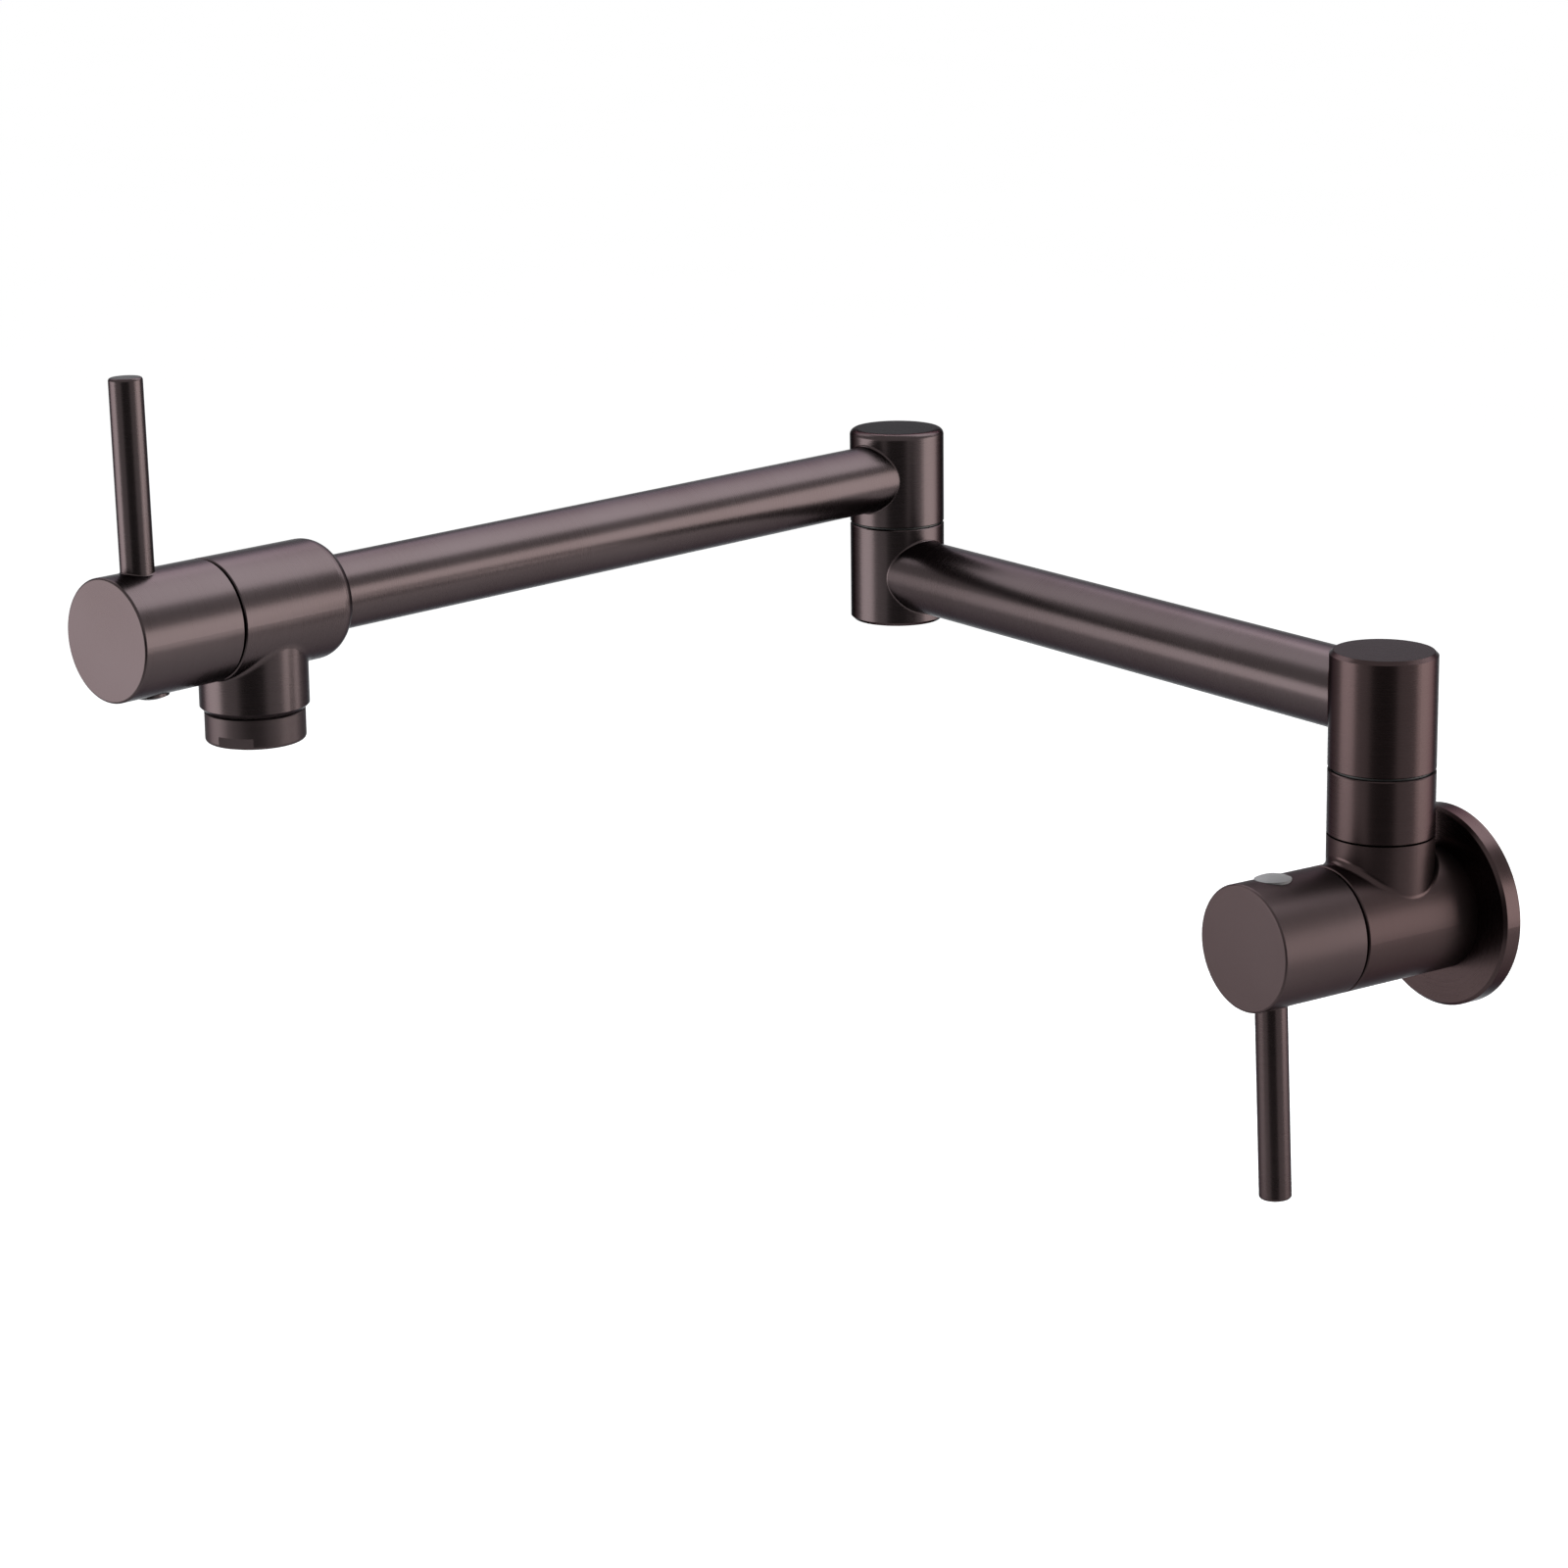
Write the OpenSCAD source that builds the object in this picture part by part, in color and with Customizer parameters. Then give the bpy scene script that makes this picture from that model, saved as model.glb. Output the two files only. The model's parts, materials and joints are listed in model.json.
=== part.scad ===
// Wall mounted folding pot filler faucet with two swivelling arms and two quarter turn valves.
// All sizes are in millimetres. The origin is the centre of the flange's back face, on the wall.
// +Y goes into the wall, +Z is up and +X is to the right for someone who faces the wall.
// Both valves are closed and the arms are half unfolded.

/* [Wall flange and inlet] */
// Diameter of the wall flange
flange_d = 61; // [54:1:80]
// Thickness of the wall flange
flange_t = 6; // [4:0.5:9]
// Bevel on the front edge of the flange
flange_bevel = 0.9; // [0.3:0.1:2]
// Diameter of the gasket behind the flange
gasket_d = 52; // [48:1:54]
// Width of the gasket ring
gasket_w = 6; // [4:0.5:8]
// Thickness of the gasket
gasket_t = 1.5; // [1:0.1:2.5]
// Diameter of the inlet neck that passes through the flange
neck_d = 28; // [26:0.5:32]
// Diameter of the inlet hole, the bore of a half inch pipe thread
inlet_d = 18.6; // [16:0.1:20]
// Depth of the inlet hole
inlet_depth = 14; // [10:0.5:16]

/* [Wall valve] */
// Diameter of the valve body at the wall
valve_d = 38; // [34:0.5:42]
// Distance from the wall to the front of the valve body
valve_reach = 48.6; // [47:0.1:60]
// Distance from the wall to the upright swivel axis
boss_reach = 28; // [25:0.5:30]
// Length of the wall handle cap
wall_cap_len = 31.2; // [30:0.1:40]
// Distance from the front of the wall handle cap back to its lever
wall_lever_back = 10.2; // [9:0.1:13]
// Lean of the closed wall lever from straight down, towards its open side
wall_lever_lean = 3; // [0:1:10]
// Rise of the domed plug of the wall handle
wall_plug_proud = 1.3; // [0.2:0.1:2]

/* [Upright column] */
// Diameter of the boss, collar ring, swivel head and elbow
column_d = 32; // [31:0.5:36]
// Height of the boss above the valve axis
boss_top = 26.1; // [23:0.1:32]
// Thin joint line between the boss and the collar ring
ring_gap = 0.35; // [0.2:0.05:0.8]
// Height of the collar ring
ring_h = 19.35; // [12:0.05:30]
// Running gap between the collar ring and the swivel head
swivel_gap = 0.8; // [0.5:0.1:1.2]
// Height of the bearing bore at the foot of the swivel head
head_bearing_h = 7.9; // [6:0.1:12]
// Metal left between the lower tube and the head's cap
head_web = 1; // [0.2:0.1:4]
// Thickness of the cap in the top of the swivel head
head_cap_t = 1.7; // [1:0.1:3]
// Bevel on the rim of the swivel head
head_bevel = 1.1; // [0.5:0.1:1.5]

/* [Elbow] */
// Metal left below the lower tube at the foot of the elbow
elbow_foot = 4.5; // [2:0.1:6]
// Metal left above the lower tube, below the elbow's running gap
elbow_neck = 4.4; // [4:0.1:9]
// Running gap between the two elbow sleeves
elbow_gap = 0.7; // [0.5:0.1:1.2]
// Height of the bearing bore at the foot of the upper sleeve
elbow_bearing_h = 5; // [5:0.1:9]
// Metal left between the upper tube and the elbow's cap
elbow_web = 2.6; // [0.3:0.1:6]
// Thickness of the cap in the top of the elbow
elbow_cap_t = 2; // [1:0.1:4]
// Rounding of the top edge of the elbow
elbow_round = 2.2; // [0.8:0.1:2.4]

/* [Arms] */
// Distance from the swivel axis to the elbow axis
lower_reach = 238; // [180:1:300]
// Diameter of the lower arm tube
lower_tube_d = 24.4; // [20:0.1:25]
// Direction of the lower arm, counter clockwise from the right
lower_turn = 181.5; // [180:0.5:360]
// Distance from the elbow axis to the spout axis
upper_reach = 283; // [250:1:340]
// Diameter of the upper arm tube
upper_tube_d = 22.4; // [18:0.1:24]
// Direction of the upper arm, counter clockwise from the right
upper_turn = 283.5; // [180:0.5:360]
// Wall of both arm tubes
tube_wall = 1.5; // [1:0.1:2.5]

/* [Spout] */
// Diameter of the spout body
spout_d = 35.8; // [34:0.1:40]
// Length of the spout body in front of the spout axis
spout_front = 16; // [16:0.5:20]
// Length of the spout body behind the spout axis
spout_back = 26; // [25:0.5:34]
// Rounding of the rear edge of the spout body
spout_round = 5.5; // [2:0.5:6]
// Depth of the socket for the upper tube
tube_socket = 9; // [6:0.5:10]
// Length of the spout handle cap
spout_cap_len = 35.1; // [30:0.1:42]
// Distance from the front of the spout handle cap back to its lever
spout_lever_back = 12.3; // [9:0.1:15]
// Lean of the closed spout lever from straight up, towards its open side
spout_lever_lean = 1.5; // [0:0.5:10]
// Rise of the domed plug of the spout handle
spout_plug_proud = 1.3; // [0.2:0.1:2.5]
// Diameter of the downward pipe
pipe_d = 31.9; // [30:0.1:34]
// Drop of the pipe's lower end below the spout axis
pipe_drop = 28.8; // [28:0.1:40]
// Bevel on the lower edge of the pipe
pipe_bevel = 1.4; // [0.5:0.1:2]

/* [Aerator] */
// Outer diameter of the aerator
aerator_d = 29.3; // [27:0.1:30]
// Height of the aerator below the pipe
aerator_h = 9; // [6:0.1:12]
// Diameter of the aerator's thread
aerator_thread_d = 24; // [22:0.5:24]
// Height of the aerator's thread
aerator_thread_h = 6; // [5:0.5:8]
// Depth of the two wrench flats
aerator_flat = 1.05; // [0.4:0.05:1.2]
// Height of the two wrench flats
aerator_flat_h = 3.4; // [2:0.1:6]

/* [Handles] */
// Diameter of the lever rods
lever_d = 9.7; // [8:0.1:11]
// Length of the wall lever's rod outside its cap
wall_lever_len = 58.2; // [35:0.1:90]
// Length of the spout lever's rod outside its cap
spout_lever_len = 55; // [35:0.1:90]
// Rounding of the free end of the lever rods
lever_round = 0.9; // [0.3:0.1:2]
// Diameter of the threaded stud of the lever rods
stud_d = 6; // [5:0.5:6.5]
// Diameter of the plugs over the handle screws
plug_d = 11; // [8:0.1:12]
// How far the handle screws and their plugs sit behind their levers
screw_back = 1.7; // [0:0.1:2.5]
// Diameter of the handle screws
screw_d = 5; // [4:0.5:5.5]
// Length of the handle screws
screw_len = 6; // [4:0.5:8]

/* [Cartridges] */
// Depth of the cartridge bore behind the front of its body
cart_depth = 30; // [29:0.5:31]
// Diameter of the cartridge
cart_d = 20; // [19:0.5:21]
// Diameter of the water gallery round the cartridge
gallery_d = 23; // [22:0.5:24]
// Diameter of the ceramic discs
disc_d = 16; // [15:0.5:16.5]
// Thickness of each ceramic disc
disc_t = 3; // [2.5:0.1:3.5]
// Thickness of the rubber seat
seat_t = 2.4; // [1.8:0.1:3]
// Diameter of the spindle
spindle_d = 8; // [7:0.5:9]
// Length of the spindle in front of its body
spindle_out = 26; // [24:0.5:27]
// Diameter of the gland nut's thread
nut_d = 26; // [25:0.5:28]
// Length of the gland nut inside the body
nut_depth = 7; // [5:0.5:8]
// Width across the flats of the gland nut's hexagon
nut_flats = 22; // [20:0.5:24]
// Height of the gland nut's hexagon
nut_hex_h = 5; // [3:0.5:5.5]

/* [Swivel stems] */
// Outer diameter of the swivel stems
stem_d = 20; // [18:0.5:20.5]
// Waterway through the swivel stems
stem_bore = 12; // [10:0.5:13]
// Diameter of the retaining nuts on the swivel stems
retainer_d = 24.6; // [23:0.1:25]
// Height of the retaining nuts
retainer_h = 3.6; // [2.5:0.1:4]
// Thickness of the seal rings on the swivel stems
seal_d = 1.5; // [1.2:0.1:1.6]

/* [Hidden] */
$fn = 96;

// Colours of the finishes.
bronze = [0.30, 0.23, 0.22];
bronze_dark = [0.22, 0.17, 0.17];
plain_brass = [0.72, 0.58, 0.32];
dark_rubber = [0.12, 0.12, 0.12];
white_ceramic = [0.92, 0.92, 0.90];
grey_plastic = [0.60, 0.59, 0.59];
white_plastic = [0.88, 0.88, 0.86];
dark_plastic = [0.10, 0.09, 0.09];
steel = [0.62, 0.63, 0.65];

// Clearances, each on the radius or between two faces.
// Pieces that are screwed or brazed together.
seat_fit = 0.05;
// Pieces that turn in each other.
run_fit = 0.06;
// Cap of a column in its recess.
cap_fit = 0.08;
// Neck of the body in the flange.
neck_fit = 0.1;
// Retaining nut in its chamber and above its shoulder.
nut_play = 0.3;
// Faces of the two ceramic discs, and a bearing washer under what turns on it.
face_play = 0.05;
// Overrun of a cut past the surface that it opens.
over = 1;
// Small edge breaks.
edge = 0.3;
cap_edge = 0.7;
// Steps in a rounded edge.
round_steps = 10;

// The visible joint line between a body and its handle cap.
cap_gap = 0.8;

// Upright column, heights above the valve axis.
ring_z = boss_top + ring_gap;
ring_top = ring_z + ring_h;
head_z = ring_top + swivel_gap;
lower_z = head_z + head_bearing_h + lower_tube_d / 2;
head_top = lower_z + lower_tube_d / 2 + head_web + head_cap_t;
elbow_z = lower_z - lower_tube_d / 2 - elbow_foot;
lower_sleeve_top = lower_z + lower_tube_d / 2 + elbow_neck;
upper_sleeve_z = lower_sleeve_top + elbow_gap;
upper_z = upper_sleeve_z + elbow_bearing_h + upper_tube_d / 2;
elbow_top = upper_z + upper_tube_d / 2 + elbow_web + elbow_cap_t;

// Plan places of the elbow axis and of the spout axis.
elbow_x = lower_reach * cos(lower_turn);
elbow_y = lower_reach * sin(lower_turn) - boss_reach;
spout_x = elbow_x + upper_reach * cos(upper_turn);
spout_y = elbow_y + upper_reach * sin(upper_turn);
// Length of the upper tube from the elbow axis to the bottom of its socket.
upper_tube_end = upper_reach - spout_back + tube_socket;

// Water chamber over a retaining nut, and the core that the tube ends are cut to.
chamber_d = retainer_d + 2 * nut_play;
core_d = chamber_d + 2 * tube_wall - 2 * edge;
// Waterway across the solid lower sleeve, and the metal over it.
cross_d = 16;
cross_web = 0.2;
// Foot of the head's stem in the boss, over the water gallery.
stem_seat_web = 2.5;
head_stem_z = gallery_d / 2 + stem_seat_web;
elbow_stem_z = lower_z + cross_d / 2 + cross_web;
// Places of the two seal rings, as shares of the bearing's height.
seal_shares = [0.3, 0.7];
seal_groove_play = 0.1;
// Width of the metal outside a bearing washer.
washer_inset = 1.2;
washer_play = 0.3;
// Recess of a column cap from the rim.
rim_w = 0.15;

// Cartridge, heights from the front of its body, outwards.
seat_z = -cart_depth;
fixed_disc_z = seat_z + seat_t;
turning_disc_z = fixed_disc_z + disc_t + face_play;
disc_back_z = turning_disc_z + disc_t;
seat_bore = 9;
port_d = 4.4;
port_r = 4.2;
housing_web = 7.5;
housing_shoulder = -nut_depth - housing_web;
housing_neck_d = 15;
window_w = 7;
window_h = 4;
window_z = disc_back_z + edge;
gallery_z = window_z - edge;
gallery_h = 8;
driver_w = 9;
driver_t = 2.6;
driver_h = 1.2;
driver_play = 0.1;
driver_land = 0.6;
collar_d = 13;
collar_h = 2.2;
spindle_seal_d = 1.2;
spindle_seal_z = -nut_depth - housing_web / 2;
flat_r = 3.2;
flat_len = 10;

// Handle caps, from the front of their body, outwards.
cap_hollow_d = 29;
cap_hollow_z = nut_hex_h + 2 * over;
spindle_tip_play = 0.5;
lever_sink = 4;
stud_foot = 7;
plug_h = 4.6;
screw_key = 2.5;
screw_key_depth = 3;
wall_cap_front = cap_gap + wall_cap_len;
wall_lever_z = wall_cap_front - wall_lever_back;
spout_cap_front = cap_gap + spout_cap_len;
spout_lever_z = spout_cap_front - spout_lever_back;

// Aerator, heights above its lower face.
aerator_gap = 0.25;
aerator_washer_t = 1.5;
aerator_bore = 20.4;
aerator_lip = 1;
aerator_lip_d = 18.8;
aerator_round = 1.1;
aerator_turn = 26;
screen_t = 1.6;
screen_hole = 1.9;
screen_pitch = 2.5;
insert_gap = 1.4;
insert_h = 7;
insert_hole = 2.1;
insert_row_shares = [0.38, 0.75];
insert_row_counts = [6, 12];
aerator_z = upper_z - pipe_drop - aerator_gap - aerator_h;
pipe_thread_h = aerator_thread_h + aerator_washer_t;
pipe_bore = 18;

// Points of a round edge about a centre, from one angle to another.
function arc(c, r, from, to) =
    [for (i = [0:round_steps]) let (a = from + (to - from) * i / round_steps)
        [c[0] + r * cos(a), c[1] + r * sin(a)]];

// Points of a shallow dome on a disc, from its rim to its middle.
function dome(r, rise, z) = let (ball = (r * r + rise * rise) / (2 * rise))
    [for (i = [round_steps:-1:0]) let (x = r * i / round_steps)
        [x, z + rise - ball + sqrt(ball * ball - x * x)]];

// A turned solid from an outline of radius and height.
module turned(points) rotate_extrude() polygon(points);

// A ring of round section, lying flat.
module seal_ring(inner_r, section) {
    rotate_extrude() translate([inner_r + section / 2, 0]) circle(d = section, $fn = 24);
}

// A flat ring.
module flat_ring(outer, inner, h) {
    difference() {
        cylinder(d = outer, h = h);
        translate([0, 0, -over]) cylinder(d = inner, h = h + 2 * over);
    }
}

// Frames. In a valve's frame Z goes out of the body's front and Y is up.
module at_wall_valve() translate([0, -valve_reach, 0]) rotate([90, 0, 0]) children();
module at_head() translate([0, -boss_reach, 0]) children();
module at_elbow() translate([elbow_x, elbow_y, 0]) children();
module at_spout() translate([spout_x, spout_y, 0]) rotate([0, 0, upper_turn + 90]) children();
module at_spout_valve() {
    at_spout() translate([0, -spout_front, upper_z]) rotate([90, 0, 0]) children();
}
module at_wall_handle() at_wall_valve() rotate([0, 0, 180 + wall_lever_lean]) children();
module at_spout_handle() at_spout_valve() rotate([0, 0, spout_lever_lean]) children();
module at_aerator() at_spout() translate([0, 0, aerator_z]) rotate([0, 0, aerator_turn]) children();

// A cylinder along X from the axis of a sleeve, as the tube or its waterway.
module along_arm(d, reach) rotate([0, 90, 0]) cylinder(d = d, h = reach);

// What a sleeve loses to a tube: the socket outside the core, and the waterway through the core.
module tube_cut(tube_d, way_d, z, turn) {
    rotate([0, 0, turn]) translate([0, 0, z]) {
        difference() {
            along_arm(tube_d + 2 * seat_fit, column_d);
            cylinder(d = core_d - 2 * seat_fit, h = column_d * 2, center = true);
        }
        along_arm(way_d, column_d);
    }
}

// A sleeve that turns on a stem: bearing bore, chamber for the retaining nut and recess for its cap.
module turning_sleeve(z, bearing_h, top, cap_t, tube_d, tube_z, turn, rim) {
    difference() {
        translate([0, 0, z]) turned(concat(
            [[0, 0], [column_d / 2 - edge, 0], [column_d / 2, edge]],
            rim == 0 ? [[column_d / 2, top - z - head_bevel], [column_d / 2 - head_bevel, top - z]]
                     : arc([column_d / 2 - rim, top - z - rim], rim, 0, 90),
            [[0, top - z]]));
        translate([0, 0, z - over]) cylinder(d = stem_d + 2 * run_fit, h = bearing_h + 2 * over);
        translate([0, 0, z + bearing_h]) cylinder(d = chamber_d, h = top - z - bearing_h - cap_t + over / 2);
        translate([0, 0, top - cap_t])
            cylinder(d = cap_d(rim) + 2 * cap_fit, h = cap_t + over);
        tube_cut(tube_d, tube_d - 2 * tube_wall, tube_z, turn);
    }
}

// Diameter of the cap inside a bevelled or rounded rim.
function cap_d(rim) = column_d - 2 * (rim == 0 ? head_bevel : rim) - 2 * rim_w;

// A hollow stem with two seal grooves, from its foot to the top of its retaining nut.
module swivel_stem(foot, face, bearing_h) {
    top = face + bearing_h + nut_play + retainer_h;
    difference() {
        translate([0, 0, foot]) cylinder(d = stem_d, h = top - foot);
        translate([0, 0, foot - over]) cylinder(d = stem_bore, h = top - foot + 2 * over);
        for (share = seal_shares)
            translate([0, 0, face + bearing_h * share - seal_d / 2 - seal_groove_play])
                flat_ring(stem_d + over, stem_d - 2 * seal_d, seal_d + 2 * seal_groove_play);
    }
}

// The two seal rings of a stem. Outside they run just inside the bearing bore.
module stem_seals(face, bearing_h) {
    for (share = seal_shares)
        translate([0, 0, face + bearing_h * share])
            seal_ring(stem_d / 2 + run_fit / 2 - seal_d, seal_d);
}

module bearing_washer(z, gap) {
    translate([0, 0, z])
        flat_ring(column_d - 2 * washer_inset, stem_d + 2 * washer_play, gap - face_play);
}

module retaining_nut(face, bearing_h) {
    translate([0, 0, face + bearing_h + nut_play])
        flat_ring(retainer_d, stem_d + 2 * seat_fit, retainer_h);
}

// The cut that a body gets for its cartridge and gland nut.
module cartridge_cut() {
    translate([0, 0, seat_z]) cylinder(d = cart_d + 2 * seat_fit, h = cart_depth + over);
    translate([0, 0, gallery_z]) cylinder(d = gallery_d, h = gallery_h);
    translate([0, 0, -nut_depth]) cylinder(d = nut_d + 2 * seat_fit, h = nut_depth + over);
}

module cartridge_seat() {
    translate([0, 0, seat_z]) flat_ring(cart_d - 2 * seat_fit, seat_bore, seat_t);
}

module ceramic_disc(z) {
    difference() {
        translate([0, 0, z]) cylinder(d = disc_d, h = disc_t);
        for (side = [-1, 1])
            translate([side * port_r, 0, z - over]) cylinder(d = port_d, h = disc_t + 2 * over);
    }
}

module turning_disc() {
    difference() {
        ceramic_disc(turning_disc_z);
        translate([0, 0, disc_back_z - driver_h / 2 + over / 2]) cube(
            [driver_t + 2 * driver_play, driver_w + 2 * driver_play, driver_h + over], center = true);
    }
}

module cartridge_housing() {
    difference() {
        union() {
            translate([0, 0, fixed_disc_z]) cylinder(d = cart_d, h = -nut_depth - fixed_disc_z);
            translate([0, 0, -nut_depth - over])
                cylinder(d = housing_neck_d, h = nut_depth + nut_hex_h + over);
        }
        translate([0, 0, fixed_disc_z - over])
            cylinder(d = disc_d + 2 * run_fit, h = housing_shoulder - fixed_disc_z + over);
        translate([0, 0, housing_shoulder - over])
            cylinder(d = spindle_d + 2 * run_fit, h = nut_hex_h - housing_shoulder + 2 * over);
        for (turn = [0, 90])
            rotate([0, 0, turn]) translate([-cart_d, -window_w / 2, window_z])
                cube([2 * cart_d, window_w, window_h]);
    }
}

// The spindle turns with the handle. A blade at its foot drives the turning disc.
module spindle() {
    difference() {
        union() {
            translate([0, 0, disc_back_z + driver_land])
                cylinder(d = spindle_d, h = spindle_out - disc_back_z - driver_land);
            translate([-driver_t / 2, -driver_w / 2, disc_back_z - driver_h + driver_play])
                cube([driver_t, driver_w, driver_h + driver_land + over]);
            translate([0, 0, housing_shoulder - nut_play - collar_h])
                cylinder(d = collar_d, h = collar_h);
        }
        translate([0, 0, spindle_seal_z - spindle_seal_d / 2 - seal_groove_play]) flat_ring(
            spindle_d + over, spindle_d - 2 * spindle_seal_d, spindle_seal_d + 2 * seal_groove_play);
        translate([-spindle_d, -spindle_d - flat_r, spindle_out - flat_len])
            cube([2 * spindle_d, spindle_d, flat_len + over]);
    }
}

module spindle_seal() {
    translate([0, 0, spindle_seal_z])
        seal_ring(spindle_d / 2 + run_fit / 2 - spindle_seal_d, spindle_seal_d);
}

module gland_nut() {
    difference() {
        union() {
            translate([0, 0, -nut_depth]) cylinder(d = nut_d, h = nut_depth);
            cylinder(d = nut_flats / cos(30), h = nut_hex_h, $fn = 6);
        }
        translate([0, 0, -nut_depth - over])
            cylinder(d = housing_neck_d + 2 * seat_fit, h = nut_depth + nut_hex_h + 2 * over);
    }
}

// A cylinder that leaves the valve axis sideways, between two distances from it.
module sideways(d, from, to) rotate([-90, 0, 0]) translate([0, 0, from]) cylinder(d = d, h = to - from);

// A handle cap with its lever up, the screw and plug down. front is the place of its outer face.
module handle_cap(outer, front, lever_z) {
    difference() {
        turned(concat(
            [[0, cap_gap], [outer / 2 - edge, cap_gap], [outer / 2, cap_gap + edge]],
            arc([outer / 2 - cap_edge, front - cap_edge], cap_edge, 0, 90),
            [[0, front]]));
        translate([0, 0, cap_gap - over]) cylinder(d = cap_hollow_d, h = cap_hollow_z - cap_gap + over);
        translate([0, 0, cap_hollow_z - over])
            cylinder(d = spindle_d + 2 * seat_fit, h = spindle_out - cap_hollow_z + over + spindle_tip_play);
        translate([0, 0, lever_z]) {
            sideways(lever_d + 2 * seat_fit, outer / 2 - lever_sink, outer);
            sideways(stud_d + 2 * seat_fit, 0, outer / 2);
        }
        translate([0, 0, lever_z - screw_back]) rotate([0, 0, 180]) {
            sideways(screw_d + 2 * seat_fit, 0, outer / 2);
            sideways(plug_d + 2 * seat_fit, outer / 2 - plug_h, outer);
        }
    }
}

module handle_lever(outer, lever_z, lever_len) {
    reach = lever_sink + lever_len;
    translate([0, 0, lever_z]) rotate([-90, 0, 0]) {
        translate([0, 0, outer / 2 - lever_sink]) turned(concat(
            [[0, 0], [lever_d / 2, 0]],
            arc([lever_d / 2 - lever_round, reach - lever_round], lever_round, 0, 90),
            [[0, reach]]));
        translate([0, 0, stud_foot]) cylinder(d = stud_d, h = outer / 2 - lever_sink - stud_foot + over);
    }
}

module handle_screw(lever_z) {
    translate([0, 0, lever_z - screw_back]) rotate([90, 0, 0]) difference() {
        translate([0, 0, flat_r + seat_fit]) cylinder(d = screw_d, h = screw_len);
        translate([0, 0, flat_r + seat_fit + screw_len - screw_key_depth])
            cylinder(d = screw_key / cos(30), h = screw_key_depth + over, $fn = 6);
    }
}

module handle_plug(outer, lever_z, proud) {
    translate([0, 0, lever_z - screw_back]) rotate([90, 0, 0]) translate([0, 0, outer / 2 - plug_h])
        turned(concat([[0, 0], [plug_d / 2, 0]], dome(plug_d / 2, proud, plug_h)));
}

// Wall flange, gasket and valve body.
module wall_flange() color(bronze_dark) {
    difference() {
        rotate([90, 0, 0]) turned([[0, 0], [flange_d / 2, 0], [flange_d / 2, flange_t - flange_bevel],
            [flange_d / 2 - flange_bevel, flange_t], [0, flange_t]]);
        rotate([90, 0, 0]) translate([0, 0, -over])
            cylinder(d = neck_d + 2 * neck_fit, h = flange_t + 2 * over);
        rotate([90, 0, 0]) translate([0, 0, -over])
            flat_ring(gasket_d, gasket_d - 2 * gasket_w, gasket_t + over);
    }
}

module wall_gasket() color(dark_rubber) {
    rotate([90, 0, 0])
        flat_ring(gasket_d - 2 * seat_fit, gasket_d - 2 * gasket_w + 2 * seat_fit, gasket_t);
}

module valve_body() color(bronze_dark) {
    difference() {
        union() {
            rotate([90, 0, 0]) translate([0, 0, flange_t]) turned([[0, 0], [valve_d / 2, 0],
                [valve_d / 2, valve_reach - flange_t - edge],
                [valve_d / 2 - edge, valve_reach - flange_t], [0, valve_reach - flange_t]]);
            rotate([90, 0, 0]) cylinder(d = neck_d, h = flange_t + over);
            at_head() cylinder(d = column_d, h = boss_top);
        }
        rotate([90, 0, 0]) translate([0, 0, -over]) cylinder(d = inlet_d, h = inlet_depth + over);
        rotate([90, 0, 0]) cylinder(d = seat_bore, h = valve_reach - cart_depth + over);
        at_wall_valve() cartridge_cut();
        at_head() cylinder(d = stem_bore, h = boss_top);
        at_head() translate([0, 0, head_stem_z])
            cylinder(d = stem_d + 2 * seat_fit, h = boss_top - head_stem_z + over);
    }
}

// Wall cartridge.
module wall_cartridge_seat() color(dark_rubber) at_wall_valve() cartridge_seat();
module wall_fixed_disc() color(white_ceramic) at_wall_valve() ceramic_disc(fixed_disc_z);
module wall_turning_disc() color(white_ceramic) at_wall_handle() turning_disc();
module wall_cartridge_housing() color(plain_brass) at_wall_valve() cartridge_housing();
module wall_spindle() color(plain_brass) at_wall_handle() spindle();
module wall_spindle_seal() color(dark_rubber) at_wall_handle() spindle_seal();
module wall_gland_nut() color(plain_brass) at_wall_valve() gland_nut();

// Wall handle. Its lever points down.
module wall_handle_cap() color(bronze) at_wall_handle() handle_cap(valve_d, wall_cap_front, wall_lever_z);
module wall_handle_lever() color(bronze) {
    at_wall_handle() handle_lever(valve_d, wall_lever_z, wall_lever_len);
}
module wall_handle_screw() color(steel) at_wall_handle() handle_screw(wall_lever_z);
module wall_handle_plug() color(grey_plastic) {
    at_wall_handle() handle_plug(valve_d, wall_lever_z, wall_plug_proud);
}

// Upright column on the boss.
module collar_ring() color(bronze_dark) at_head() translate([0, 0, ring_z]) difference() {
    turned([[0, 0], [column_d / 2 - edge, 0], [column_d / 2, edge], [column_d / 2, ring_h - edge],
        [column_d / 2 - edge, ring_h], [0, ring_h]]);
    translate([0, 0, -over]) cylinder(d = stem_d + 2 * seat_fit, h = ring_h + 2 * over);
}
module head_stem() color(plain_brass) at_head() swivel_stem(head_stem_z, head_z, head_bearing_h);
module head_seal_rings() color(dark_rubber) at_head() stem_seals(head_z, head_bearing_h);
module head_bearing_washer() color(dark_plastic) at_head() bearing_washer(ring_top, swivel_gap);
module head_retaining_nut() color(plain_brass) at_head() retaining_nut(head_z, head_bearing_h);

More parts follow.
